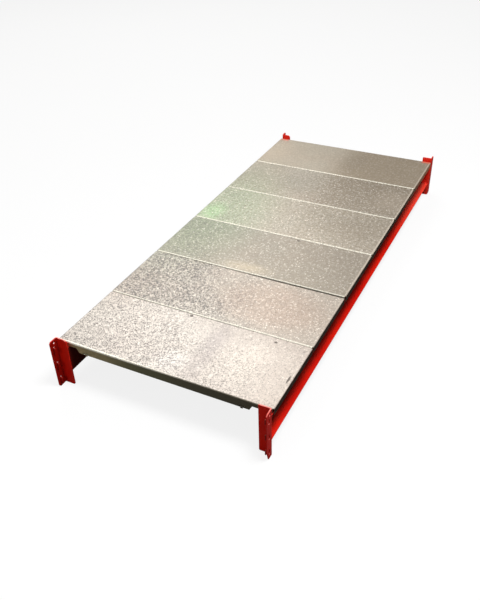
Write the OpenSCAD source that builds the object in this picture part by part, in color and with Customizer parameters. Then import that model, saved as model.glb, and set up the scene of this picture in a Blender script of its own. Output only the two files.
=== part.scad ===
// Rack shelf level: two hooked beams carrying six folded steel trays.
// X runs along the beams, Y across the shelf from the front beam to the rear
// beam, Z is up. The origin is on the ground under the middle of the level,
// which stands on the lower ends of its four connectors.

/* [Shelf level] */
// Length over the four connectors
overall_l = 1470; // [1300:10:1800]
// Depth of the deck, front edge to rear edge
deck_d = 600; // [450:10:800]
// Height of a connector
connector_h = 146; // [142:1:160]
// Height of the deck's upper face above the connectors' lower ends
deck_top = 134; // [130:0.5:138]
// Space between the end of the deck and a connector
deck_end_gap = 7.5; // [4:0.5:20]

/* [Beams] */
// Height of the channel
beam_h = 78; // [60:1:90]
// Width of the channel's flanges
beam_w = 30; // [24:1:36]
// Thickness of the channel's sheet
beam_t = 2; // [1.5:0.1:3]
// Inner radius of the channel's two bends
beam_bend = 2.5; // [1:0.5:5]
// How far the deck's edge stands out past the flanges
beam_inset = 3; // [2:0.5:8]

/* [Connectors] */
// Thickness of the plate
plate_t = 3; // [2.5:0.25:4]
// Width of the leg that is welded across the beam's end
weld_leg_w = 33; // [32.5:0.5:38]
// How far the hooked leg reaches past the welded leg's inner face
hook_leg_w = 27.5; // [26:0.5:34]
// Distance from the deck's edge in to the connector's outer face
connector_inset = 1; // [0.5:0.5:2]
// Radius of the welded legs' upper inner corners at the front
front_corner_r = 2.5; // [2:0.5:9]
// The same radius at the rear
rear_corner_r = 9; // [2:0.5:9]
// Distance between hooks
hook_pitch = 48.5; // [44:0.5:49.5]
// Height of the upper end of the top hook below the connector's top
hook_first = 20; // [18:0.5:21]
// Height of a hook's root along its bend
hook_root_h = 15; // [12:0.5:16]
// How far the nose hangs below the root
hook_nose = 3; // [2:0.5:4]
// How far a hook stands in from the plate
hook_reach = 6.5; // [6:0.5:10]
// Diameter of the safety pin hole
pin_hole_d = 6.5; // [5:0.5:9]
// Height of the pin hole below the connector's top
pin_hole_drop = 10.5; // [8.5:0.5:11.5]
// Distance of the pin hole from the welded leg's inner face
pin_hole_x = 12.5; // [10:0.5:16]

/* [Trays] */
// Gap between neighbouring trays
tray_gap = 1; // [0.6:0.1:3]
// Sheet thickness
tray_t = 1; // [0.8:0.1:1.5]
// Depth of the side rims between the beams
rim_deep = 27.4; // [24:0.2:32]
// Depth of the side rims where they stand on the beams
rim_shallow = 12.5; // [12:0.5:16]
// Depth of the lips that hang over the outside of the beams
lip_h = 17.5; // [16:0.5:20]
// Width of the flanges returned under the side rims
return_w = 11; // [6:0.5:16]
// Length of the slot above each return flange
slot_l = 17; // [10:1:24]
// Height of that slot
slot_h = 5; // [3:0.5:6]

/* [Hidden] */
$fn = 48;
eps = 0.01;

paint = [0.72, 0.05, 0.02];
zinc = [0.72, 0.71, 0.66];

half_l = overall_l / 2;
half_d = deck_d / 2;
face_x = half_l - hook_leg_w;             // beam end and welded leg's inner face
conn_y = half_d - connector_inset;        // connector's outer face
beam_out = half_d - beam_inset;           // flange edges
beam_in = beam_out - beam_w;              // web's inner face
beam_top = deck_top - rim_shallow;
beam_bot = beam_top - beam_h;
deck_l = 2 * (face_x - deck_end_gap);
tray_pitch = (deck_l + tray_gap) / 6;
tray_w = tray_pitch - tray_gap;
tray_r = 2.5;                             // outer radius of the tray's folds
step_y = beam_in - 21;                    // where the rim's step starts
rim_y = beam_in - 29;                     // where the rim's deep part ends
slot_y = half_d - 82;                     // middle of the slots
bend_x = face_x + 19.5;                   // middle of the hooks' bends
leg_in = conn_y - weld_leg_w;             // welded leg's free edge

// square with its corner at the origin and four rounded corners
module round_rect(w, h, r) {
    translate([r, 0]) square([w - 2 * r, h]);
    translate([0, r]) square([w, h - 2 * r]);
    for (x = [r, w - r]) for (y = [r, h - r]) translate([x, y]) circle(r = r);
}

// block that runs along Y with its outline in X and Z
module along_y(length) {
    rotate([90, 0, 0]) linear_extrude(height = length, center = true) children();
}

// block that runs along X with its outline in Y and Z
module along_x(length) {
    rotate([90, 0, 90]) linear_extrude(height = length, center = true) children();
}

// channel outline in Y and Z, its web inside and its flanges pointing out
module channel_outline() {
    ro = beam_bend + beam_t;
    difference() {
        translate([beam_in, beam_bot]) round_rect(beam_w + 20, beam_h, ro);
        translate([beam_in + beam_t, beam_bot + beam_t])
            round_rect(beam_w + 20, beam_h - 2 * beam_t, beam_bend);
        translate([beam_out, beam_bot - 5]) square([60, beam_h + 10]);
    }
}

module beam() {
    color(paint) along_x(2 * face_x) channel_outline();
}

// plan of a connector, the fold at its outer corner
module connector_plan() {
    ro = plate_t + 1;
    difference() {
        union() {
            translate([face_x, leg_in]) square([plate_t, weld_leg_w - ro]);
            translate([face_x + ro, conn_y - plate_t]) square([hook_leg_w - ro, plate_t]);
            intersection() {
                translate([face_x + ro, conn_y - ro]) circle(r = ro);
                translate([face_x, conn_y - ro]) square([ro, ro]);
            }
        }
        translate([face_x + ro, conn_y - ro]) circle(r = 1);
    }
}

// outline of one hook in Y and Z, with its top at z = 0
module hook_outline() {
    y0 = conn_y - plate_t;
    polygon([[y0 + 1.5, 0], [y0 - hook_reach + 2, 0], [y0 - hook_reach, -2.5],
             [y0 - hook_reach, -hook_root_h - hook_nose + 1.5],
             [y0 - hook_reach + 1, -hook_root_h - hook_nose],
             [y0 - hook_reach + 2.3, -hook_root_h - hook_nose + 1],
             [y0 - hook_reach + 2.8, -hook_root_h], [y0 + 1.5, -hook_root_h]]);
}

// toe: size of the cut at the hooked leg's lower free corner
// r: radius of the welded leg's upper inner corner
module connector(toe_x, toe_z, r) {
    color(paint) {
        difference() {
            linear_extrude(height = connector_h) connector_plan();
            // rounded upper corner of the welded leg
            translate([0, leg_in, connector_h - r])
                difference() {
                    translate([face_x - 5, -5, 0]) cube([plate_t + 10, r + 5, r + 5]);
                    translate([face_x - 6, r, 0])
                        rotate([0, 90, 0]) cylinder(r = r, h = plate_t + 12);
                    translate([face_x - 6, r, -1]) cube([plate_t + 12, 20, r + 1]);
                }
            // lower corner of the welded leg
            translate([face_x - 5, leg_in - eps, -eps]) rotate([90, 0, 90])
                linear_extrude(height = plate_t + 10) polygon([[-1, -1], [3, -1], [-1, 4]]);
            // upper and lower free corners of the hooked leg
            translate([half_l, conn_y + 5, connector_h]) rotate([90, 0, 0])
                linear_extrude(height = plate_t + 10) polygon([[1, 1], [-5, 1], [1, -5]]);
            translate([half_l, conn_y + 5, 0]) rotate([90, 0, 0])
                linear_extrude(height = plate_t + 10)
                    polygon([[1, -1], [-toe_x - toe_x / toe_z, -1], [-toe_x, 0], [0, toe_z], [1, toe_z + toe_z / toe_x]]);
            // windows that the hooks were cut from, shorter than the hooks,
            // which stretched in the press
            for (k = [0:2])
                translate([bend_x + 0.5 - hook_reach, conn_y - plate_t - 1, connector_h - hook_first - k * hook_pitch - hook_root_h])
                    cube([hook_reach - 2, plate_t + 2, hook_root_h]);
            // safety pin hole
            translate([face_x + pin_hole_x, conn_y + 5, connector_h - pin_hole_drop])
                rotate([90, 0, 0]) cylinder(d = pin_hole_d, h = plate_t + 10);
        }
        for (k = [0:2])
            translate([bend_x, 0, connector_h - hook_first - k * hook_pitch])
                along_x(3) hook_outline();
    }
}

// fillet of weld metal: a full bead of leg s along +Z from the origin,
// lying in the corner between the planes x = 0 (plate) and y = 0 (channel)
module bead(s, length) {
    linear_extrude(height = length) polygon([[0, 0], [-s, 0], [-s * 0.85, s * 0.38], [-s * 0.38, s * 0.85], [0, s]]);
}

module welds() {
    color(paint) translate([face_x, 0, 0]) {
        // down the channel's web, on its open side
        translate([0, beam_in + beam_t, beam_bot + beam_t + beam_bend + 2])
            bead(3, beam_h - 2 * beam_t - 2 * beam_bend - 4);
        // along the upper face of the lower flange
        translate([0, beam_out - 2, beam_bot + beam_t]) rotate([90, 0, 0])
            bead(3, beam_w - 3.5 - beam_t - beam_bend);
        // along the lower face of the lower flange
        translate([0, beam_out - 2, beam_bot]) mirror([0, 0, 1]) rotate([90, 0, 0])
            bead(3, beam_w - 4 - beam_t - beam_bend);
        // along the upper face of the upper flange
        translate([0, beam_out - 2, beam_top]) rotate([90, 0, 0])
            bead(3, beam_w - 4 - beam_t - beam_bend);
    }
}

// solid box over one tray with all its upper edges rounded; d is its depth,
// g is how much it is smaller than the tray on each side and at the top
module tray_block(d, g) {
    r = tray_r - g;
    intersection() {
        along_y(deck_d - 2 * g) difference() {
            translate([-tray_w / 2 + g, deck_top - g - d]) round_rect(tray_w - 2 * g, d, r);
        }
        along_x(tray_w + 10) translate([-half_d + g, deck_top - g - d - 30])
            round_rect(deck_d - 2 * g, d + 30, r);
    }
}

module tray() {
    g = tray_t;
    color(zinc) {
        difference() {
            tray_block(rim_deep, 0);
            // hollow inside
            tray_block(rim_deep - 2 * g, g);
            // opening between the return flanges
            translate([-tray_w / 2 + return_w, -half_d - 1, deck_top - rim_deep - 1])
                cube([tray_w - 2 * return_w, deck_d + 2, 4]);
            for (s = [-1, 1]) {
                // the side rims step up over the beam
                along_x(tray_w + 10)
                    polygon([[s * rim_y, deck_top - rim_deep - 1], [s * rim_y, deck_top - rim_deep],
                             [s * step_y, beam_top], [s * (half_d - g), beam_top],
                             [s * (half_d - g), deck_top - lip_h], [s * (half_d + 5), deck_top - lip_h],
                             [s * (half_d + 5), deck_top - rim_deep - 1]]);
                // reliefs at the corners of the lips
                for (e = [-1, 1])
                    translate([e * (tray_w / 2 - 1.2) - 2, s * (half_d - 1.3) - 2, deck_top - rim_deep - 1])
                        cube([4, 4, rim_deep - 1]);
                // slots above the return flanges
                translate([-tray_w / 2 - 5, s * slot_y - slot_l / 2, deck_top - rim_deep + tray_t + 0.4])
                    cube([tray_w + 10, slot_l, slot_h]);
            }
        }
        // tongues that hang under the slots
        for (s = [-1, 1]) for (e = [-1, 1])
            translate([e * (tray_w / 2 - tray_t / 2 - 1.6) - tray_t / 2, s * slot_y - 3, deck_top - rim_deep - 3.5])
                cube([tray_t, 6, 4]);
    }
}

module tray_at(i) {
    translate([-deck_l / 2 + tray_w / 2 + i * tray_pitch, 0, 0]) tray();
}

mirror([0, 1, 0]) beam();  // front_beam
beam();  // rear_beam
mirror([1, 0, 0]) mirror([0, 1, 0]) connector(8, 28, front_corner_r);  // front_left_connector
mirror([0, 1, 0]) connector(4, 5, front_corner_r);  // front_right_connector
mirror([1, 0, 0]) connector(4, 5, rear_corner_r);  // rear_left_connector
connector(8, 28, rear_corner_r);  // rear_right_connector
mirror([1, 0, 0]) mirror([0, 1, 0]) welds();  // front_left_welds
mirror([0, 1, 0]) welds();  // front_right_welds
mirror([1, 0, 0]) welds();  // rear_left_welds
welds();  // rear_right_welds
tray_at(0);  // tray_1
tray_at(1);  // tray_2
tray_at(2);  // tray_3
tray_at(3);  // tray_4
tray_at(4);  // tray_5
tray_at(5);  // tray_6
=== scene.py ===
import math
import random

import bpy
import bmesh
from mathutils import Matrix, Vector, noise


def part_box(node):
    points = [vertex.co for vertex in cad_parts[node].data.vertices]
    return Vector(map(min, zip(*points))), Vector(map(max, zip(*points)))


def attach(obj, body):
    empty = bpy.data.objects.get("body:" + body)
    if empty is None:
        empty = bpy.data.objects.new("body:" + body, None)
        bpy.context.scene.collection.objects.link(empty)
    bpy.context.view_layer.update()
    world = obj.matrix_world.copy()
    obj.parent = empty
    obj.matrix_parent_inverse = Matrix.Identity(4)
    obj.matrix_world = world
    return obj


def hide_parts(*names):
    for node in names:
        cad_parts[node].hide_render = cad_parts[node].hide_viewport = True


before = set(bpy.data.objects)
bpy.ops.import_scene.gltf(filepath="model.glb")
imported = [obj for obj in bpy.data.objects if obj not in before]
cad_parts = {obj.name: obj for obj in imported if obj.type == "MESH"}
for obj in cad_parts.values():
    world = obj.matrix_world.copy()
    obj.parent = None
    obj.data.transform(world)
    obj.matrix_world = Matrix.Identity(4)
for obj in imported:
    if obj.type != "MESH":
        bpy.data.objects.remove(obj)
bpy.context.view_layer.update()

MM = 0.001
CORNERS = ("front_left", "front_right", "rear_left", "rear_right")
TRAYS = ["tray_%d" % k for k in range(1, 7)]


# ---------------------------------------------------------------- node helpers
class Tree:
    """A short way to write a shader node tree."""

    def __init__(self, mat):
        mat.use_nodes = True
        self.t = mat.node_tree
        self.t.nodes.clear()
        self.x = 0

    def n(self, kind, ins=None, **props):
        node = self.t.nodes.new(kind)
        self.x += 190
        node.location = (self.x, 0)
        for k, v in props.items():
            setattr(node, k, v)
        for k, v in (ins or {}).items():
            s = node.inputs[k]
            if isinstance(v, bpy.types.NodeSocket):
                self.t.links.new(v, s)
            else:
                s.default_value = v
        return node

    def math(self, op, a, b=0.5, c=None, clamp=False):
        ins = {0: a, 1: b}
        if c is not None:
            ins[2] = c
        return self.n("ShaderNodeMath", ins, operation=op, use_clamp=clamp).outputs[0]

    def vmath(self, op, a, b=None, scale=None):
        ins = {0: a}
        if b is not None:
            ins[1] = b
        node = self.n("ShaderNodeVectorMath", ins, operation=op)
        if scale is not None:
            node.inputs["Scale"].default_value = scale
        return node.outputs["Value"] if op in ("LENGTH", "DOT_PRODUCT", "DISTANCE") else node.outputs["Vector"]

    def ramp(self, fac, stops, ease="LINEAR"):
        r = self.n("ShaderNodeValToRGB", {"Fac": fac})
        cr = r.color_ramp
        cr.interpolation = ease
        while len(cr.elements) < len(stops):
            cr.elements.new(0.5)
        for e, (p, c) in zip(cr.elements, stops):
            e.position = p
            e.color = c if isinstance(c, tuple) else (c, c, c, 1)
        return r.outputs["Color"]

    def smooth(self, v, lo, hi, a=0.0, b=1.0):
        m = self.n("ShaderNodeMapRange", {"Value": v, "From Min": lo, "From Max": hi, "To Min": a, "To Max": b},
                   interpolation_type="SMOOTHSTEP")
        return m.outputs["Result"]

    def mix(self, fac, a, b, kind="MIX"):
        m = self.n("ShaderNodeMix", data_type="RGBA", blend_type=kind)
        for sock, v in ((m.inputs[0], fac), (m.inputs[6], a), (m.inputs[7], b)):
            if isinstance(v, bpy.types.NodeSocket):
                self.t.links.new(v, sock)
            else:
                sock.default_value = v
        return m.outputs[2]

    def noise(self, vec, scale, detail=3.0, rough=0.55, w=None):
        ins = {"Vector": vec, "Scale": scale, "Detail": detail, "Roughness": rough}
        return self.n("ShaderNodeTexNoise", ins).outputs["Fac"]

    def out(self, shader):
        self.n("ShaderNodeOutputMaterial", {"Surface": shader})


def c4(r, g, b):
    return (r, g, b, 1.0)


# ---------------------------------------------------------------- materials
def red_paint(name, edge=0.0, paint_beam_shading=False, cut=False):
    """Semi-gloss red coat: slight orange peel and faint mottling, with the far ends painted lighter as painted light,
    most on beams. edge lightens the edges, partly as paint rubbed thin and partly as a painted highlight; the beam
    flag paints shade into a channel's hollow and on to the web's back; cut is for plates: it paints shade on the near
    hooked legs' inner faces and a highlight on their upward faces, and gives less gloss."""
    mat = bpy.data.materials.new(name)
    t = Tree(mat)
    tc = t.n("ShaderNodeTexCoord").outputs["Object"]
    broad = t.noise(tc, 9.0, 3.0)
    fine = t.noise(tc, 160.0, 4.0, 0.6)
    grain = t.noise(tc, 900.0, 2.0, 0.5)
    base = t.mix(t.smooth(broad, 0.30, 0.72), c4(0.560, 0.0060, 0.0022), c4(0.700, 0.0130, 0.0042))
    base = t.mix(t.smooth(fine, 0.45, 0.85, 0.0, 0.20), base, c4(0.42, 0.006, 0.002))
    # small chips and rubs
    vo = t.n("ShaderNodeTexVoronoi", {"Vector": tc, "Scale": 70.0, "Randomness": 1.0}, feature="F1")
    chip = t.math("MULTIPLY", t.smooth(vo.outputs["Distance"], 0.16, 0.05), t.smooth(t.noise(tc, 22.0, 2.0), 0.60, 0.72))
    base = t.mix(t.math("MULTIPLY", chip, 0.40), base, c4(0.62, 0.10, 0.07))
    sp = t.n("ShaderNodeSeparateXYZ", {"Vector": tc})
    # painted light: the far ends are painted lighter and a little paler
    far = t.smooth(sp.outputs["X"], 0.20, 0.60, 0.0, 0.80 if paint_beam_shading else 0.50)
    base = t.mix(far, base, c4(0.98, 0.070, 0.040) if paint_beam_shading else c4(1.0, 0.050, 0.028))
    # painted shade deep in the channels, under the deck, lighter towards the far end as painted light
    far_light_ramp = t.smooth(sp.outputs["X"], 0.28, 0.68)
    deep = t.math("SUBTRACT", 0.2965, t.math("ABSOLUTE", sp.outputs["Y"]))
    low = t.smooth(sp.outputs["Z"], 0.046, 0.060)
    channel_shade_mask = t.math("MULTIPLY", t.smooth(t.math("ADD", deep, t.math("MULTIPLY", fine, 0.004)), 0.009, 0.024), t.math("ADD", 0.50, t.math("MULTIPLY", low, 0.08)))
    base = t.mix(channel_shade_mask if paint_beam_shading else 0.0, base, t.mix(far_light_ramp, c4(0.050, 0.016, 0.010), c4(0.200, 0.075, 0.046)))
    # painted shade on the web's inner face, under the deck, lighter towards the far end as painted light
    back = t.smooth(deep, 0.0284, 0.0292, 0.0, 0.72)
    base = t.mix(back if paint_beam_shading else 0.0, base, t.mix(far_light_ramp, c4(0.045, 0.006, 0.004), c4(0.260, 0.100, 0.062)))
    if cut:
        # painted shade on the inner faces of the near hooked legs
        inner = t.math("MULTIPLY", t.smooth(t.math("ABSOLUTE", sp.outputs["Y"]), 0.2966, 0.2962), t.smooth(sp.outputs["X"], -0.7105, -0.7115))
        base = t.mix(t.math("MULTIPLY", inner, 0.62), base, c4(0.100, 0.0030, 0.0015))
        # painted highlight: up-facing faces are painted pale pink, less towards the far end and on the near hooked
        # legs
        up = t.n("ShaderNodeSeparateXYZ", {"Vector": t.n("ShaderNodeNewGeometry").outputs["Normal"]}).outputs["Z"]
        top_highlight = t.math("MULTIPLY", t.smooth(up, 0.35, 0.85), t.smooth(t.noise(tc, 90.0, 3.0, 0.6), 0.30, 0.65, 0.45, 0.85))
        leg = t.smooth(sp.outputs["X"], -0.7105, -0.7125, 0.0, 1.0)
        keep = t.smooth(sp.outputs["X"], 0.30, -0.30, 0.15, 1.0)
        keep = t.math("MULTIPLY", keep, t.math("SUBTRACT", 1.0, t.math("MULTIPLY", leg, t.smooth(sp.outputs["Y"], -0.05, 0.05, 0.35, 0.85))))
        base = t.mix(t.math("MULTIPLY", top_highlight, keep), base, c4(0.92, 0.36, 0.31))
    if edge:
        # the edges are painted lighter: partly paint rubbed thin, partly a painted highlight
        edge_tint = t.math("MULTIPLY", t.smooth(t.noise(tc, 60.0, 3.0, 0.6), 0.30, 0.70, 0.35 * edge, edge), keep)
        base = t.mix(edge_tint, base, c4(0.90, 0.22, 0.17))
    rough = t.math("ADD", t.smooth(fine, 0.25, 0.80, 0.30, 0.44), t.math("MULTIPLY", chip, 0.2))
    h = t.math("ADD", t.math("MULTIPLY", fine, 0.6), t.math("MULTIPLY", grain, 0.25))
    h = t.math("SUBTRACT", h, t.math("MULTIPLY", chip, 0.8))
    bump = t.n("ShaderNodeBump", {"Height": h, "Strength": 0.22, "Distance": 0.0004}).outputs["Normal"]
    p = t.n("ShaderNodeBsdfPrincipled", {"Base Color": base, "Roughness": rough, "Normal": bump})
    p.inputs["Specular IOR Level"].default_value = 0.08 if cut else 0.18
    p.inputs["Coat Weight"].default_value = 0.01 if cut else 0.04
    p.inputs["Coat Roughness"].default_value = 0.25
    t.out(p.outputs[0])
    return mat


def galvanised(name):
    """Hot-dip zinc on thin sheet: crystals of many greys, each with its own tilt and gloss, with painted light, shade
    and reflections laid into its colour, and side rims painted dark as shade.
    """
    mat = bpy.data.materials.new(name)
    t = Tree(mat)
    tc = t.n("ShaderNodeTexCoord").outputs["Object"]
    geo = t.n("ShaderNodeNewGeometry")
    sep = t.n("ShaderNodeSeparateXYZ", {"Vector": tc})
    nz = t.n("ShaderNodeSeparateXYZ", {"Vector": geo.outputs["Normal"]}).outputs["Z"]
    # which tray, counted from the left, and how far along it
    along = t.math("DIVIDE", t.math("ADD", sep.outputs["X"], 0.7005), 0.23350)
    cell = t.math("FLOOR", along)
    inset = t.math("MULTIPLY", t.math("FRACT", along), 0.23350)
    tray_no = t.math("DIVIDE", t.math("ADD", cell, 0.5), 6.0)
    # crystals of two sizes
    warp = t.n("ShaderNodeTexNoise", {"Vector": tc, "Scale": 200.0, "Detail": 2.0}).outputs["Color"]
    warped = t.vmath("ADD", tc, t.vmath("SCALE", t.vmath("SUBTRACT", warp, (0.5, 0.5, 0.5)), scale=0.0035))
    v1 = t.n("ShaderNodeTexVoronoi", {"Vector": warped, "Scale": 360.0, "Randomness": 1.0}, feature="F1")
    v2 = t.n("ShaderNodeTexVoronoi", {"Vector": warped, "Scale": 190.0, "Randomness": 1.0}, feature="F1")
    g1 = t.n("ShaderNodeSeparateColor", {"Color": v1.outputs["Color"]})
    g2 = t.n("ShaderNodeSeparateColor", {"Color": v2.outputs["Color"]})
    flake = t.math("ADD", t.math("MULTIPLY", g1.outputs[0], 0.70), t.math("MULTIPLY", g2.outputs[0], 0.30))
    # where the spangle stands out: patches, mostly towards the near rear corner
    patch = t.noise(tc, 3.2, 3.0, 0.5)
    lean = t.math("SUBTRACT", t.math("MULTIPLY", sep.outputs["Y"], 0.90), t.math("MULTIPLY", sep.outputs["X"], 0.35))
    spread = t.ramp(tray_no, [(0.0, 0.0), (1 / 6, 0.13), (2 / 6, 0.04)], "CONSTANT")
    area = t.smooth(t.math("ADD", t.math("ADD", patch, lean), spread), 0.48, 0.86, 0.16, 1.0)
    # each batch of sheet has its own spangle
    grit = t.ramp(tray_no, [(0.0, 0.56), (1 / 6, 0.90), (2 / 6, 0.50), (3 / 6, 0.30), (4 / 6, 0.32), (5 / 6, 0.20)], "CONSTANT")
    reach = t.math("ADD", flake, t.math("MULTIPLY", t.math("SUBTRACT", 0.72, grit), 0.30))
    dark = t.math("MULTIPLY", t.math("MULTIPLY", t.smooth(reach, 0.52, 0.24), area), t.math("ADD", 0.35, grit))
    glint = t.ramp(tray_no, [(0.0, 0.46), (1 / 6, 0.62), (2 / 6, 0.44), (3 / 6, 0.60), (4 / 6, 0.50), (5 / 6, 0.26)], "CONSTANT")
    light = t.math("MULTIPLY", t.smooth(flake, 0.77, 0.90), glint)

    def blot(x, y, rx, ry, inner=0.2):
        """A soft round patch on the deck, 1 at its middle and 0 outside."""
        d = t.vmath("MULTIPLY", t.vmath("SUBTRACT", tc, (x, y, 0.0)), (1.0 / rx, 1.0 / ry, 0.0))
        return t.smooth(t.vmath("LENGTH", d), 1.0, inner)

    tone = t.noise(tc, 5.0, 3.0, 0.6)
    zinc_tone_and_light = t.mix(t.smooth(tone, 0.3, 0.7), c4(0.66, 0.590, 0.515), c4(0.66, 0.620, 0.550))
    zinc_tone_and_light = t.mix(t.smooth(sep.outputs["Y"], 0.12, -0.30, 0.0, 0.65), zinc_tone_and_light, c4(0.66, 0.565, 0.475))
    # painted reflection: a broad green cast towards the rear middle
    zinc_tone_and_light = t.mix(t.math("MULTIPLY", blot(0.06, 0.26, 0.50, 0.26), 0.85), zinc_tone_and_light, c4(0.545, 0.620, 0.465))
    # painted shade: darker towards the front on the far half
    front = t.math("MULTIPLY", t.smooth(sep.outputs["Y"], 0.07, -0.08), t.smooth(sep.outputs["X"], -0.05, 0.50))
    zinc_tone_and_light = t.mix(t.math("MULTIPLY", front, 0.80), zinc_tone_and_light, c4(0.45, 0.385, 0.305))
    # painted reflection: the near end is painted lighter
    zinc_tone_and_light = t.mix(t.math("MULTIPLY", blot(-0.62, -0.02, 0.34, 0.50), 0.50), zinc_tone_and_light, c4(0.82, 0.785, 0.720))
    # painted shade: a dark band and a dim patch on the first sheet
    start = t.smooth(sep.outputs["X"], -0.4665, -0.4672)
    zinc_tone_and_light = t.mix(t.math("MULTIPLY", t.math("MULTIPLY", blot(-0.560, -0.068, 0.230, 0.046, 0.1), start), 0.50), zinc_tone_and_light, c4(0.440, 0.400, 0.390))
    first_sheet_shade = t.math("MULTIPLY", t.smooth(sep.outputs["X"], -0.550, -0.470), t.smooth(sep.outputs["Y"], 0.10, -0.02))
    zinc_tone_and_light = t.mix(t.math("MULTIPLY", t.math("MULTIPLY", first_sheet_shade, start), 0.32), zinc_tone_and_light, c4(0.46, 0.415, 0.370))
    # painted highlights: two bright patches on the first sheet
    zinc_tone_and_light = t.mix(t.math("MULTIPLY", blot(-0.585, -0.180, 0.120, 0.065, 0.1), 0.45), zinc_tone_and_light, c4(0.92, 0.850, 0.740))
    zinc_tone_and_light = t.mix(t.math("MULTIPLY", blot(-0.650, -0.005, 0.060, 0.060, 0.1), 0.55), zinc_tone_and_light, c4(0.92, 0.900, 0.850))
    # painted reflection: a pink cast on the second sheet
    zinc_tone_and_light = t.mix(t.math("MULTIPLY", blot(-0.350, -0.130, 0.130, 0.210, 0.4), t.smooth(sep.outputs["X"], -0.4672, -0.4665)), zinc_tone_and_light, t.mix(1.0, zinc_tone_and_light, c4(1.00, 0.925, 0.900), "MULTIPLY"))
    # painted shade on the middle of the last sheet
    zinc_tone_and_light = t.mix(t.math("MULTIPLY", blot(0.590, -0.040, 0.115, 0.070, 0.1), 0.42), zinc_tone_and_light, c4(0.400, 0.350, 0.290))
    # painted reflection on the rear of the last sheet
    zinc_tone_and_light = t.mix(t.math("MULTIPLY", blot(0.590, 0.270, 0.125, 0.090, 0.1), 0.42), zinc_tone_and_light, c4(0.80, 0.740, 0.640))
    # every sheet comes from its own batch
    batch = t.ramp(tray_no, [(0.0, c4(0.900, 0.880, 0.890)), (1 / 6, c4(0.730, 0.718, 0.706)), (2 / 6, c4(0.560, 0.558, 0.530)),
                             (3 / 6, c4(0.720, 0.715, 0.670)), (4 / 6, c4(0.700, 0.680, 0.635)), (5 / 6, c4(0.800, 0.760, 0.690))], "CONSTANT")
    zinc_tone_and_light = t.mix(1.0, zinc_tone_and_light, batch, "MULTIPLY")
    # painted reflection: a stronger green patch on the rear of the fourth sheet, fainter across the seam
    green = t.math("MULTIPLY", blot(0.055, 0.262, 0.090, 0.062, 0.1), t.smooth(sep.outputs["X"], 0.000, 0.004, 0.3, 1.0))
    zinc_tone_and_light = t.mix(t.math("MULTIPLY", green, 0.40), zinc_tone_and_light, c4(0.42, 0.76, 0.35))
    zinc_tone_and_light = t.mix(t.math("MULTIPLY", blot(-0.208, 0.010, 0.036, 0.110, 0.1), 0.30), zinc_tone_and_light, c4(0.80, 0.68, 0.48))
    base = t.mix(t.math("MULTIPLY", dark, 0.80, clamp=True), zinc_tone_and_light, c4(0.150, 0.140, 0.136))
    base = t.mix(light, base, c4(0.94, 0.87, 0.78))
    # pinpoint dark flecks between the crystals
    v3 = t.n("ShaderNodeTexVoronoi", {"Vector": warped, "Scale": 460.0, "Randomness": 1.0}, feature="F1")
    g3 = t.n("ShaderNodeSeparateColor", {"Color": v3.outputs["Color"]})
    fleck = t.ramp(tray_no, [(0.0, 0.84), (1 / 6, 0.66), (2 / 6, 0.32), (3 / 6, 0.52), (4 / 6, 0.44), (5 / 6, 0.22)], "CONSTANT")
    # on the first two sheets they follow the spangle
    fleck = t.math("MULTIPLY", fleck, t.math("SUBTRACT", 1.0, t.math("MULTIPLY", t.smooth(cell, 1.6, 1.4), t.math("SUBTRACT", 0.58, t.math("MULTIPLY", area, 0.80)))))
    base = t.mix(t.math("MULTIPLY", t.smooth(g3.outputs[0], 0.82, 0.90), fleck), base, c4(0.20, 0.178, 0.165))
    # soft clouds of dull and bright skin, strongest on the fourth and fifth sheets
    cloud = t.noise(tc, 120.0, 2.0, 0.5)
    haze = t.ramp(tray_no, [(0.0, 0.35), (1 / 6, 0.50), (2 / 6, 0.55), (3 / 6, 1.2), (4 / 6, 1.3), (5 / 6, 0.55)], "CONSTANT")
    haze = t.math("MULTIPLY", haze, t.smooth(sep.outputs["Y"], 0.25, -0.10, 0.60, 1.0))
    base = t.mix(t.math("MULTIPLY", t.smooth(cloud, 0.52, 0.70, 0.0, 0.42), haze), base, c4(0.27, 0.225, 0.170))
    base = t.mix(t.math("MULTIPLY", t.smooth(cloud, 0.48, 0.32, 0.0, 0.24), haze), base, c4(0.86, 0.80, 0.72))
    # scattered crystals that catch the light
    spark = t.ramp(tray_no, [(0.0, 0.30), (1 / 6, 0.50), (2 / 6, 0.55), (3 / 6, 0.85), (4 / 6, 0.70), (5 / 6, 0.20)], "CONSTANT")
    dot = t.math("MULTIPLY", t.smooth(g2.outputs[1], 0.91, 0.93), t.smooth(v2.outputs["Distance"], 0.46, 0.28))
    base = t.mix(t.math("MULTIPLY", dot, spark), base, c4(0.98, 0.93, 0.84))
    # painted shade and painted highlight: broad darker and brighter places on the fourth and fifth sheets
    base = t.mix(t.math("MULTIPLY", blot(0.120, -0.200, 0.115, 0.130), 0.22), base, c4(0.30, 0.245, 0.185))
    base = t.mix(t.math("MULTIPLY", blot(0.350, 0.095, 0.110, 0.120), 0.20), base, c4(0.26, 0.235, 0.190))
    base = t.mix(t.math("MULTIPLY", blot(0.350, -0.260, 0.110, 0.100), 0.20), base, c4(0.66, 0.560, 0.450))
    # white bloom and faint rubbed streaks
    streak = t.n("ShaderNodeTexNoise", {"Vector": t.vmath("MULTIPLY", tc, (14.0, 1.4, 14.0)), "Scale": 6.0, "Detail": 4.0, "Roughness": 0.6}).outputs["Fac"]
    base = t.mix(t.smooth(streak, 0.55, 0.78, 0.0, 0.10), base, c4(0.80, 0.76, 0.70))
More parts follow.
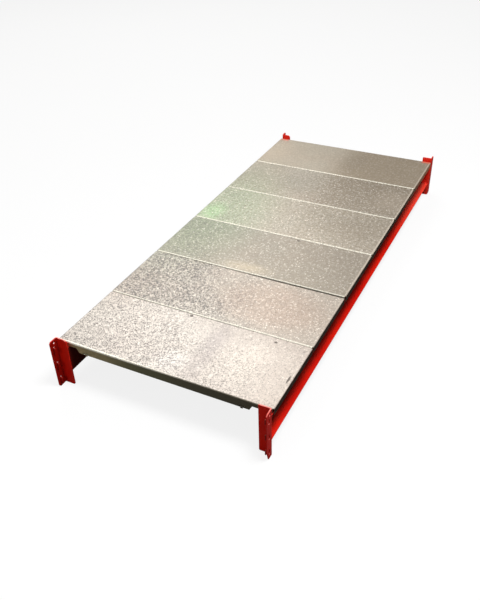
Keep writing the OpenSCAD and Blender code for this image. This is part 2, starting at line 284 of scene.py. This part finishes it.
    # a few scuffs from goods slid over the deck
    scuffs = t.math("MAXIMUM", blot(-0.485, -0.208, 0.0045, 0.0060, 0.5), blot(-0.4765, 0.038, 0.0060, 0.0065, 0.5))
    scuffs = t.math("MAXIMUM", scuffs, blot(-0.011, -0.071, 0.0045, 0.0060, 0.5))
    scuffs = t.math("MAXIMUM", scuffs, blot(-0.597, -0.290, 0.0180, 0.0035, 0.5))
    base = t.mix(t.math("MULTIPLY", scuffs, 0.80), base, c4(0.07, 0.06, 0.05))
    # painted shade: the side rims, faces that stand upright, are painted dark, darkest towards the front
    side = t.smooth(nz, 0.36, 0.06)
    smut = t.smooth(t.noise(tc, 40.0, 3.0), 0.3, 0.7)
    rimc = t.mix(smut, c4(0.405, 0.330, 0.178), c4(0.560, 0.450, 0.250))
    rimc = t.mix(t.smooth(sep.outputs["Y"], 0.24, 0.05), rimc, c4(0.222, 0.210, 0.118))
    # painted shade: the end lips, over the beams, are painted a dark reddish brown
    lipc = t.mix(smut, c4(0.030, 0.013, 0.007), c4(0.060, 0.028, 0.014))
    # and painted lighter towards the far end, as painted light
    lipc = t.mix(t.smooth(sep.outputs["X"], 0.28, 0.68), lipc, c4(0.500, 0.235, 0.130))
    ny = t.math("ABSOLUTE", t.n("ShaderNodeSeparateXYZ", {"Vector": geo.outputs["Normal"]}).outputs["Y"])
    base = t.mix(side, base, rimc)
    # painted highlight: a thin bright line along the front edge, where the sheet bends
    crest = t.math("MULTIPLY", t.smooth(sep.outputs["Y"], -0.2925, -0.2965), t.smooth(nz, 0.40, 0.75))
    crest = t.math("MULTIPLY", crest, t.smooth(sep.outputs["X"], -0.45, -0.05, 0.12, 0.45))
    base = t.mix(crest, base, c4(0.95, 0.84, 0.70))
    base = t.mix(t.smooth(ny, 0.56, 0.95), base, lipc)
    # a reddish band on the last sheet, beside the far connectors
    edge_tint = t.math("MULTIPLY", t.smooth(sep.outputs["X"], 0.6820, 0.6930), t.smooth(t.math("ABSOLUTE", t.math("SUBTRACT", t.math("ABSOLUTE", sep.outputs["Y"]), 0.2825)), 0.0190, 0.0140))
    base = t.mix(t.math("MULTIPLY", edge_tint, 0.60), base, c4(0.90, 0.22, 0.13))
    # painted highlight: the long folds are painted bright, least where two sheets were pushed hard together
    bright = t.ramp(tray_no, [(0.0, 1.0), (1 / 6, 0.62), (2 / 6, 0.74), (3 / 6, 0.74), (4 / 6, 0.72), (5 / 6, 0.78)], "CONSTANT")
    highlight_patchiness = t.smooth(t.noise(tc, 9.0, 2.0, 0.5), 0.25, 0.50, 0.80, 1.0)
    first = t.smooth(cell, 0.1, 0.6, 0.0, 1.0)
    rear = t.smooth(sep.outputs["Y"], -0.17, 0.17)
    highlight_patchiness = t.math("MULTIPLY", highlight_patchiness, t.math("MAXIMUM", first, rear))
    strip = t.math("MULTIPLY", t.smooth(inset, t.math("SUBTRACT", 0.0062, t.math("MULTIPLY", first, 0.0006)), 0.0038), t.smooth(nz, 0.15, 0.40))
    # a wide gap has pulled the second and third sheets apart at the front
    third = t.math("MULTIPLY", t.smooth(cell, 1.4, 1.6), t.smooth(cell, 2.6, 2.4))
    apart = t.smooth(sep.outputs["Y"], 0.10, -0.12)
    strip = t.math("MULTIPLY", strip, t.math("SUBTRACT", 1.0, t.math("MULTIPLY", t.math("MULTIPLY", third, apart), 0.20)))
    fold = t.math("MULTIPLY", t.math("MULTIPLY", strip, bright), highlight_patchiness)
    # painted highlight carried right down the outermost fold's side, strongest towards the rear
    down = t.math("MULTIPLY", t.smooth(sep.outputs["Z"], 0.1285, 0.1318), t.smooth(inset, 0.0024, 0.0016))
    down = t.math("MULTIPLY", t.math("MULTIPLY", down, t.math("SUBTRACT", 1.0, first)), t.smooth(sep.outputs["Y"], -0.05, 0.15, 0.0, 0.95))
    fold = t.math("MAXIMUM", fold, down)
    base = t.mix(fold, base, c4(0.97, 0.93, 0.80))
    # painted shade on the outermost fold of the first sheet, towards the front
    near_fold_shade = t.math("MULTIPLY", t.math("SUBTRACT", 1.0, t.math("MAXIMUM", first, rear)), t.smooth(inset, 0.0033, 0.0018))
    base = t.mix(t.math("MULTIPLY", near_fold_shade, 0.92), base, c4(0.115, 0.100, 0.070))
    # painted shade: the second sheet's fold at the second seam is painted almost black at the front, in the wide gap
    # there
    second = t.math("MULTIPLY", t.smooth(cell, 0.4, 0.6), t.smooth(cell, 1.6, 1.4))
    parted = t.math("MULTIPLY", t.math("MULTIPLY", second, apart), t.smooth(inset, 0.2258, 0.2282))
    base = t.mix(t.math("MULTIPLY", parted, 0.90), base, c4(0.045, 0.035, 0.026))
    rough = t.math("ADD", 0.30, t.math("MULTIPLY", g1.outputs[1], 0.20))
    rough = t.math("ADD", rough, t.math("MULTIPLY", side, 0.22))
    rough = t.math("SUBTRACT", rough, t.math("MULTIPLY", fold, 0.10))
    h = t.math("ADD", t.math("MULTIPLY", g1.outputs[2], 0.5), t.math("MULTIPLY", t.noise(tc, 420.0, 3.0), 0.6))
    bump = t.n("ShaderNodeBump", {"Height": h, "Strength": 0.16, "Distance": 0.0006}).outputs["Normal"]
    p = t.n("ShaderNodeBsdfPrincipled", {"Base Color": base, "Roughness": rough, "Normal": bump})
    p.inputs["Metallic"].default_value = 0.55
    p.inputs["Specular IOR Level"].default_value = 0.2
    t.out(p.outputs[0])
    return mat


def floor_mat():
    """Pale, matt and plain. It is darker to light that bounces than to the eye, so the undersides keep their depth."""
    mat = bpy.data.materials.new("floor_pale")
    t = Tree(mat)
    tc = t.n("ShaderNodeTexCoord").outputs["Object"]
    pale = t.mix(t.noise(tc, 1.5, 2.0), c4(0.86, 0.86, 0.86), c4(0.90, 0.90, 0.90))
    a = t.n("ShaderNodeBsdfDiffuse", {"Color": pale})
    glow = t.n("ShaderNodeEmission", {"Color": c4(1, 1, 1)})
    glow.inputs["Strength"].default_value = 1.0
    seen = t.n("ShaderNodeMixShader", {0: 0.84, 1: a.outputs[0], 2: glow.outputs[0]})
    b = t.n("ShaderNodeBsdfDiffuse", {"Color": c4(0.14, 0.14, 0.14)})
    lp = t.n("ShaderNodeLightPath")
    t.out(t.n("ShaderNodeMixShader", {0: lp.outputs["Is Camera Ray"], 1: b.outputs[0], 2: seen.outputs[0]}).outputs[0])
    return mat


RED = red_paint("red_paint")
RED_BEAM = red_paint("red_paint_beam", paint_beam_shading=True)
RED_PLATE = red_paint("red_paint_plate", cut=True)
RED_EDGE = red_paint("red_paint_edge", edge=0.50, cut=True)
ZINC = galvanised("galvanised_steel")


# ---------------------------------------------------------------- mesh helpers
def new_object(name, bm, mats, sharp=35.0, smooth=True):
    me = bpy.data.meshes.new(name)
    bm.to_mesh(me)
    bm.free()
    for m in mats:
        me.materials.append(m)
    if smooth:
        me.shade_smooth()
        me.set_sharp_from_angle(angle=math.radians(sharp))
    o = bpy.data.objects.new(name, me)
    bpy.context.scene.collection.objects.link(o)
    return o


def bake_modifiers(o):
    """Turns an object's modifiers into its mesh."""
    dg = bpy.context.evaluated_depsgraph_get()
    me = bpy.data.meshes.new_from_object(o.evaluated_get(dg), preserve_all_data_layers=True, depsgraph=dg)
    old = o.data
    o.modifiers.clear()
    o.data = me
    me.name = o.name
    bpy.data.meshes.remove(old)


def adopt(o, slot, *nodes):
    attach(o, "root")
    if nodes:
        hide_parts(*nodes)


# ---------------------------------------------------------------- trays
SHEET = 1.0 * MM
FOLD = 2.5 * MM
RIM_DEEP = 27.4 * MM
RIM_SHALLOW = 12.5 * MM
LIP = 17.5 * MM
RETURN = 11.0 * MM
SLOT_Y = 218.0 * MM
SLOT_L = 17.0 * MM
STEP_Y = 246.0 * MM
RIM_Y = 238.0 * MM
RELIEF = 3.3 * MM


def arc(cx, cz, r, a0, a1, n):
    return [(cx + r * math.cos(a0 + (a1 - a0) * k / n), cz + r * math.sin(a0 + (a1 - a0) * k / n)) for k in range(n + 1)]


def tray(name, index):
    lo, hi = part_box(name)
    x0, x1, zt = lo.x, hi.x, hi.z
    hw, xc = (x1 - x0) / 2, (x0 + x1) / 2
    yd = hi.y
    zb = zt - RIM_DEEP
    rnd = random.Random(100 + index)
    # profile of one half, from the return flange's free edge to the middle of the top
    half = []
    for k in range(4):
        half.append((-hw + RETURN - (RETURN - FOLD) * k / 4, zb, "ret"))
    for x, z in arc(-hw + FOLD, zb + FOLD, FOLD, -math.pi / 2, -math.pi, 5):
        half.append((x, z, "ret"))
    half.append((-hw, zb + 3.4 * MM, "slotz"))
    half.append((-hw, zb + 6.4 * MM, "slotz"))
    half.append((-hw, zt - RIM_SHALLOW, "rim"))
    half.append((-hw, zt - 8 * MM, "rim"))
    half.append((-hw, zt - 5 * MM, "rim"))
    for x, z in arc(-hw + FOLD, zt - FOLD, FOLD, math.pi, math.pi / 2, 6):
        half.append((x, z, "fold"))
    half.append((-hw + RELIEF, zt, "top"))
    half.append((-hw + 6 * MM, zt, "top"))
    nmid = 17
    for k in range(1, nmid + 1):
        half.append((-hw + 6 * MM + (hw - 6 * MM) * k / (nmid + 1), zt, "top"))
    prof = half + [(0.0, zt, "top")] + [(-x, z, g) for x, z, g in reversed(half)]
    ncol = len(prof)
    # stations along the depth
    ys = {0.0}
    for s in (-1, 1):
        for v in (SLOT_Y - SLOT_L / 2, SLOT_Y - 3 * MM, SLOT_Y + 3 * MM, SLOT_Y + SLOT_L / 2, RIM_Y, STEP_Y, yd - RELIEF, yd - FOLD):
            ys.add(s * v)
        for k in range(1, 24):
            v = 9.6 * MM * k
            if min(abs(v - q) for q in (SLOT_Y - SLOT_L / 2, SLOT_Y + SLOT_L / 2, RIM_Y, STEP_Y)) > 3 * MM:
                ys.add(s * v)
        for v in (256, 266, 276, 286, 292):
            ys.add(s * v * MM)
    ys = sorted(ys)
    seed = Vector((13.7 * index, 4.1, 9.2))

    def wave(x, y, grp):
        """The top sheet isn't quite flat: shallow canning that dies out towards the folds."""
        if grp != "top":
            return 0.0
        ex = min(1.0, (hw - abs(x)) / (26 * MM))
        ey = min(1.0, (yd - abs(y)) / (30 * MM))
        m = (ex * ex * (3 - 2 * ex)) * (ey * ey * (3 - 2 * ey))
        p = Vector((x * 9.0, y * 5.0, 0.0)) + seed
        return m * (0.42 * MM * noise.noise(p) + 0.16 * MM * noise.noise(p * 3.1) - 0.12 * MM)

    # how far the two long sides stand back from the CAD edge, so that the seams aren't all alike
    back = SEAM_PLAY[index]

    def place(x, y, z, grp):
        f = min(1.0, abs(x) / hw)
        side = 0 if x < 0 else 1
        b0, b1 = back[side]
        b = b0 + (b1 - b0) * (y + yd) / (2 * yd)
        sway = 0.10 * MM * noise.noise(Vector((side * 7.0 + index * 3.0, y * 6.0, 0.0)))
        return Vector((xc + x - math.copysign(1, x) * (b + abs(sway)) * f if x else xc, y, z + wave(x, y, grp)))

    bm = bmesh.new()
    grid = []
    for y in ys:
        row = []
        for x, z, g in prof:
            zz = z
            if abs(y) >= STEP_Y - 1e-6 and g in ("ret", "slotz"):
                zz = zt - RIM_SHALLOW
                xx = -hw if x < 0 else hw
                row.append(bm.verts.new(place(xx, y, zz, g)))
                continue
            row.append(bm.verts.new(place(x, y, zz, g)))
        grid.append(row)
    half_n = len(half)
    for j in range(len(ys) - 1):
        ya, yb = ys[j], ys[j + 1]
        ym = (ya + yb) / 2
        for i in range(ncol - 1):
            ga, gb = prof[i][2], prof[i + 1][2]
            low = ga in ("ret", "slotz") or gb in ("ret", "slotz")
            flat = ga in ("top",) and gb in ("top",)
            if abs(ym) > STEP_Y and low and not (ga == "rim" and gb == "rim"):
                continue
            if abs(ym) > yd - RELIEF and not flat:
                continue
            if ga == "slotz" and gb == "slotz" and abs(abs(ym) - SLOT_Y) < SLOT_L / 2:
                continue
            f = [grid[j][i], grid[j][i + 1], grid[j + 1][i + 1], grid[j + 1][i]]
            bm.faces.new(f)
    # end lips, over the outside of the beams
    tops = [i for i, p in enumerate(prof) if p[2] == "top"]
    for s, row in ((-1, grid[0]), (1, grid[-1])):
        prev = [row[i] for i in tops]
        path = [(yd - FOLD + FOLD * math.sin(a), zt - FOLD + FOLD * math.cos(a)) for a in [math.pi / 2 * k / 6 for k in range(1, 7)]]
        path += [(yd, zt - LIP * q) for q in (0.35, 0.6, 0.85, 1.0)]
        for y, z in path:
            cur = []
            for i in tops:
                x = prof[i][0]
                v = place(x, s * yd, z, "lip")
                v.y = s * y
                v.x = prev[len(cur)].co.x
                cur.append(bm.verts.new(v))
            for k in range(len(tops) - 1):
                f = [prev[k], prev[k + 1], cur[k + 1], cur[k]]
                bm.faces.new(f if s > 0 else f[::-1])
            prev = cur
    bmesh.ops.remove_doubles(bm, verts=bm.verts, dist=1e-6)
    bmesh.ops.dissolve_degenerate(bm, dist=1e-7, edges=bm.edges)
    bmesh.ops.recalc_face_normals(bm, faces=bm.faces)
    # outward means up on the top sheet
    up = [f for f in bm.faces if abs(f.normal.z) > 0.9 and f.calc_center_median().z > zt - 2 * MM]
    if sum(f.normal.z for f in up) < 0:
        bmesh.ops.reverse_faces(bm, faces=bm.faces)
    loose = [v for v in bm.verts if not v.link_faces]
    bmesh.ops.delete(bm, geom=loose, context="VERTS")
    o = new_object("deck_" + name, bm, [ZINC])
    so = o.modifiers.new("sheet", "SOLIDIFY")
    so.thickness = SHEET
    so.offset = -1.0
    so.use_even_offset = True
    so.use_rim = True
    be = o.modifiers.new("edge", "BEVEL")
    be.width = 0.18 * MM
    be.segments = 1
    be.limit_method = "ANGLE"
    be.angle_limit = math.radians(60)
    bake_modifiers(o)
    # tongues bent down at the slots
    bm = bmesh.new()
    bm.from_mesh(o.data)
    for sy in (-1, 1):
        for sx in (-1, 1):
            back_x = (back[0][0] + back[0][1]) / 2 if sx < 0 else (back[1][0] + back[1][1]) / 2
            xt = xc + sx * (hw - 1.6 * MM - back_x)
            pts = [(0.0, 0.9), (0.0, 0.2), (0.0, -0.8), (0.15, -1.8), (0.5, -2.7), (1.0, -3.4)]
            rows = []
            for q, dz in pts:
                ring = []
                for yy, off in ((-3, 0), (-3, 1), (3, 1), (3, 0)):
                    ring.append(bm.verts.new((xt - sx * (off - 1 + q * 0.35) * MM - sx * 0.5 * MM, sy * SLOT_Y + yy * MM, zb + dz * MM)))
                rows.append(ring)
            made = []
            for a, b in zip(rows, rows[1:]):
                for k in range(4):
                    made.append(bm.faces.new((a[k], a[(k + 1) % 4], b[(k + 1) % 4], b[k])))
            made.append(bm.faces.new(rows[0][::-1]))
            made.append(bm.faces.new(rows[-1]))
            bmesh.ops.recalc_face_normals(bm, faces=made)
    bm.to_mesh(o.data)
    bm.free()
    o.data.shade_smooth()
    o.data.set_sharp_from_angle(angle=math.radians(35))
    adopt(o, "galvanised_steel", name)
    return o


# for each tray: how far its near and far long side stand back at the front and at the rear, in metres
SEAM_PLAY = [
    ((0.0, 0.0), (0.0, 0.0)),
    ((0.0, 0.0), (1.6 * MM, 0.1 * MM)),
    ((1.4 * MM, 0.1 * MM), (0.0, 0.05 * MM)),
    ((0.1 * MM, 0.0), (0.15 * MM, 0.0)),
    ((0.0, 0.1 * MM), (0.1 * MM, 0.15 * MM)),
    ((0.1 * MM, 0.0), (0.0, 0.0)),
]
for k, nm in enumerate(TRAYS):
    tray(nm, k)


# ---------------------------------------------------------------- beams
def beam(name, sy):
    lo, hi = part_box(name)
    y_in, y_out = (lo.y, hi.y) if sy > 0 else (-hi.y, -lo.y)
    zb, zt = lo.z, hi.z
    th, ri = 2.0 * MM, 2.5 * MM
    ro = ri + th
    r = 0.45 * MM
    N = 8
    loop = []
    loop += [(y_out - r * (1 - math.sin(a)), zt - r * (1 - math.cos(a))) for a in (math.pi / 2, math.pi / 4, 0)]
    for k in range(1, 4):
        loop.append((y_out - (y_out - y_in - ro) * k / 4, zt))
    loop += [(y_in + ro + ro * math.cos(a), zt - ro + ro * math.sin(a)) for a in [math.pi / 2 + math.pi / 2 * k / N for k in range(N + 1)]]
    for k in range(1, 6):
        loop.append((y_in, zt - ro - (zt - zb - 2 * ro) * k / 6))
    loop += [(y_in + ro + ro * math.cos(a), zb + ro + ro * math.sin(a)) for a in [math.pi + math.pi / 2 * k / N for k in range(N + 1)]]
    for k in range(1, 4):
        loop.append((y_in + ro + (y_out - y_in - ro) * k / 4, zb))
    loop += [(y_out - r * (1 - math.sin(a)), zb + r * (1 - math.cos(a))) for a in (0, math.pi / 4, math.pi / 2)]
    loop += [(y_out - r * (1 - math.cos(a)), zb + th - r * (1 - math.sin(a))) for a in (0, math.pi / 4, math.pi / 2)]
    for k in range(1, 4):
        loop.append((y_out - (y_out - y_in - ro) * k / 4, zb + th))
    loop += [(y_in + ro - ri * math.sin(a), zb + ro - ri * math.cos(a)) for a in [math.pi / 2 * k / N for k in range(N + 1)]]
    for k in range(1, 6):
        loop.append((y_in + th, zb + ro + (zt - zb - 2 * ro) * k / 6))
    loop += [(y_in + ro - ri * math.cos(a), zt - ro + ri * math.sin(a)) for a in [math.pi / 2 * k / N for k in range(N + 1)]]
    for k in range(1, 4):
        loop.append((y_in + ro + (y_out - y_in - ro) * k / 4, zt - th))
    loop += [(y_out - r * (1 - math.sin(a)), zt - th + r * (1 - math.cos(a))) for a in (0, math.pi / 4, math.pi / 2)]
    bm = bmesh.new()
    rings = []
    nx = 90
    for j in range(nx + 1):
        x = lo.x + (hi.x - lo.x) * j / nx
        ring = []
        for y, z in loop:
            tip = (y - y_in) / (y_out - y_in)
            # roll-formed flanges waver a little along their length, inwards only
            ends = min(1.0, min(j, nx - j) / 6)
            d = ends * 0.28 * MM * tip * abs(noise.noise(Vector((x * 3.1, 5.0 * sy, 0.0 if z > (zb + zt) / 2 else 9.0))))
            dz = -d if z > (zb + zt) / 2 else d
            ring.append(bm.verts.new((x, sy * y, z + dz)))
        rings.append(ring)
    n = len(loop)
    for a, b in zip(rings, rings[1:]):
        for k in range(n):
            bm.faces.new((a[k], b[k], b[(k + 1) % n], a[(k + 1) % n]))
    # the cut ends: each point of the outer side faces one of the inner side
    for ring in (rings[0], rings[-1]):
        for k in range(n // 2 - 1):
            bm.faces.new((ring[k], ring[k + 1], ring[n - 2 - k], ring[n - 1 - k]))
    bmesh.ops.recalc_face_normals(bm, faces=bm.faces)
    o = new_object("channel_" + name, bm, [RED_BEAM, RED_EDGE], sharp=40)
    # the flanges' cut edges are painted lighter: partly rubbed, partly a painted highlight
    for p in o.data.polygons:
        c = p.center
        if abs(c.y) > y_out - 0.25 * MM:
            p.material_index = 1
    adopt(o, "red_paint", name)
    return o


beam("front_beam", -1)
beam("rear_beam", 1)


# ---------------------------------------------------------------- weld beads
def bead_mesh(bm, start, along, across, up, length, leg, seed):
    """One run of weld: a full fillet between two planes that meet on the line start + along, with laid ripples.
    across and up are the directions away from that line on the two planes."""
    pitch = 1.7 * MM
    n = max(12, int(length / pitch * 6))
    seg = 8
    rings = []
    for j in range(n + 1):
        s = length * j / n
        ph = (s / pitch + 0.25 * noise.noise(Vector((s * 400, seed, 0)))) % 1.0
        ripple = 0.90 + 0.13 * math.sqrt(max(0.0, 1 - (2 * ph - 1) ** 2))
        fat = 1 + 0.07 * noise.noise(Vector((s * 120, seed * 3.1, 2.0)))
        edge = min(1.0, min(s, length - s) / (0.8 * leg))
        end = math.sqrt(max(0.0, 1 - (1 - edge) ** 2)) * 0.92 + 0.08
        ring = [bm.verts.new(start + along * s)]
        for k in range(seg + 1):
            a = math.pi / 2 * k / seg
            rr = leg * end * fat * (1 if k in (0, seg) else ripple) * 0.97
            ring.append(bm.verts.new(start + along * (s + 0.35 * pitch * math.sin(2 * a) * (0 if j in (0, n) else 1)) + across * rr * math.cos(a) + up * rr * math.sin(a)))
        rings.append(ring)
    m = len(rings[0])
    for a, b in zip(rings, rings[1:]):
        for k in range(m):
            bm.faces.new((a[k], a[(k + 1) % m], b[(k + 1) % m], b[k]))
    bm.faces.new(rings[0][::-1])
    bm.faces.new(rings[-1])


for nm in CORNERS:
    lo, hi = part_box(nm + "_welds")
    bl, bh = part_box(nm.split("_")[0] + "_beam")
    sx = -1 if "left" in nm else 1
    sy = -1 if "front" in nm else 1
    fx = max(abs(lo.x), abs(hi.x))              # welded leg's inner face
    b_in = min(abs(bl.y), abs(bh.y))
    b_out = max(abs(bl.y), abs(bh.y))
    zb, zt = bl.z, bh.z
    th, bend = 2.0 * MM, 2.5 * MM
    X, Y, Z = Vector((-sx, 0, 0)), Vector((0, sy, 0)), Vector((0, 0, 1))
    P = lambda y, z: Vector((sx * fx, sy * y, z))
    bm = bmesh.new()
    sd = 1.3 + 2.7 * CORNERS.index(nm)
    bead_mesh(bm, P(b_in + th, zb + th + bend + 2 * MM), Z, X, Y, (zt - zb) - 2 * th - 2 * bend - 4 * MM, 2.9 * MM, sd)
    bead_mesh(bm, P(b_out - 2 * MM, zb + th), -Y, X, Z, (b_out - b_in) - 3.5 * MM - th - bend, 2.9 * MM, sd + 1)
    bead_mesh(bm, P(b_out - 2 * MM, zb), -Y, X, -Z, (b_out - b_in) - 4 * MM - th - bend, 2.9 * MM, sd + 2)
    bead_mesh(bm, P(b_out - 2 * MM, zt), -Y, X, Z, (b_out - b_in) - 4 * MM - th - bend, 2.9 * MM, sd + 3)
    bmesh.ops.remove_doubles(bm, verts=bm.verts, dist=2e-6)
    bmesh.ops.recalc_face_normals(bm, faces=bm.faces)
    o = new_object("beads_" + nm, bm, [RED], sharp=60)
    adopt(o, "red_paint", nm + "_welds")


# ---------------------------------------------------------------- connectors: CAD plates with rolled edges, painted lighter: partly rubbed, partly a painted highlight
for nm in CORNERS:
    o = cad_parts[nm + "_connector"]
    o.data.materials.clear()
    o.data.materials.append(RED_PLATE)
    o.data.materials.append(RED_EDGE)
    w = o.modifiers.new("weld", "WELD")
    w.merge_threshold = 0.00002
    d = o.modifiers.new("flat", "DECIMATE")
    d.decimate_type = "DISSOLVE"
    d.angle_limit = math.radians(1.5)
    b = o.modifiers.new("edge", "BEVEL")
    b.width = 0.45 * MM
    b.segments = 3
    b.limit_method = "ANGLE"
    b.angle_limit = math.radians(32)
    b.material = 1
    b.use_clamp_overlap = True
    b.harden_normals = False
    for p in o.data.polygons:
        p.use_smooth = True
    s = o.modifiers.new("smooth", "WEIGHTED_NORMAL")
    s.keep_sharp = False


# ---------------------------------------------------------------- floor, light, camera
bm = bmesh.new()
R0, RINGS, SEGS = 14.0, 12, 64
prev = [bm.verts.new((0, 0, 0))] * SEGS
rings = []
for j in range(1, RINGS + 1):
    rr = R0 * (j / RINGS) ** 1.6
    rings.append([bm.verts.new((rr * math.cos(2 * math.pi * k / SEGS), rr * math.sin(2 * math.pi * k / SEGS), 0)) for k in range(SEGS)])
for k in range(SEGS):
    bm.faces.new((prev[0], rings[0][k], rings[0][(k + 1) % SEGS]))
for a, b in zip(rings, rings[1:]):
    for k in range(SEGS):
        bm.faces.new((a[k], b[k], b[(k + 1) % SEGS], a[(k + 1) % SEGS]))
floor = new_object("floor", bm, [floor_mat()], smooth=False)
floor.location.z = -0.0004


def area(name, loc, target, sx, sy, power, color=(1, 1, 1)):
    li = bpy.data.lights.new(name, "AREA")
    li.shape = "RECTANGLE"
    li.size, li.size_y = sx, sy
    li.energy = power
    li.color = color
    o = bpy.data.objects.new(name, li)
    bpy.context.scene.collection.objects.link(o)
    o.location = loc
    o.rotation_euler = (Vector(target) - Vector(loc)).to_track_quat("-Z", "Y").to_euler()
    return o


area("key", (-0.45, -1.05, 3.0), (0.1, 0.0, 0.1), 0.9, 0.9, 92.0)
area("sheen", (2.6, 2.1, 2.9), (-0.2, 0.1, 0.1), 2.6, 1.9, 46.0, (1.0, 0.98, 0.95))
area("folds", (-0.5, 1.0, 2.9), (0.0, 0.0, 0.1), 1.6, 0.5, 8.0)
area("fill", (-3.3, 0.5, 1.5), (-0.5, 0.0, 0.08), 1.4, 0.9, 15.0)

world = bpy.data.worlds.new("studio")
bpy.context.scene.world = world
world.use_nodes = True
wt = world.node_tree
wt.nodes.clear()
wo = wt.nodes.new("ShaderNodeOutputWorld")
lit = wt.nodes.new("ShaderNodeBackground")
seen = wt.nodes.new("ShaderNodeBackground")
mixw = wt.nodes.new("ShaderNodeMixShader")
lp = wt.nodes.new("ShaderNodeLightPath")
tc = wt.nodes.new("ShaderNodeTexCoord")
sp = wt.nodes.new("ShaderNodeSeparateXYZ")
rp = wt.nodes.new("ShaderNodeValToRGB")
wt.links.new(tc.outputs["Generated"], sp.inputs[0])
wt.links.new(sp.outputs["Z"], rp.inputs[0])
els = rp.color_ramp.elements
els[0].position, els[0].color = 0.0, (0.08, 0.08, 0.08, 1)
els[1].position, els[1].color = 1.0, (0.30, 0.30, 0.30, 1)
wt.links.new(rp.outputs["Color"], lit.inputs["Color"])
lit.inputs["Strength"].default_value = 1.0
seen.inputs["Color"].default_value = (0.872, 0.872, 0.872, 1)
wt.links.new(lp.outputs["Is Camera Ray"], mixw.inputs[0])
wt.links.new(lit.outputs[0], mixw.inputs[1])
wt.links.new(seen.outputs[0], mixw.inputs[2])
wt.links.new(mixw.outputs[0], wo.inputs[0])

cam = bpy.data.cameras.new("camera")
cam.sensor_width = 36.0
cam.lens = 41.04
cam.shift_x = 0.00166
cam.clip_end = 100.0
co = bpy.data.objects.new("camera", cam)
bpy.context.scene.collection.objects.link(co)
right = Vector((0.448658, -0.893163, -0.031091))
down = Vector((-0.532996, -0.239488, -0.811518))
fwd = Vector((0.717371, 0.380665, -0.583500))
m = Matrix.Identity(4)
for r in range(3):
    m[r][0], m[r][1], m[r][2] = right[r], -down[r], -fwd[r]
m.translation = Vector((-1.686197, -0.746417, 1.211540))
co.matrix_world = m
bpy.context.scene.camera = co

vs = bpy.context.scene.view_settings
vs.view_transform = "Standard"
vs.look = "None"
vs.exposure = 0.0
vs.gamma = 1.0
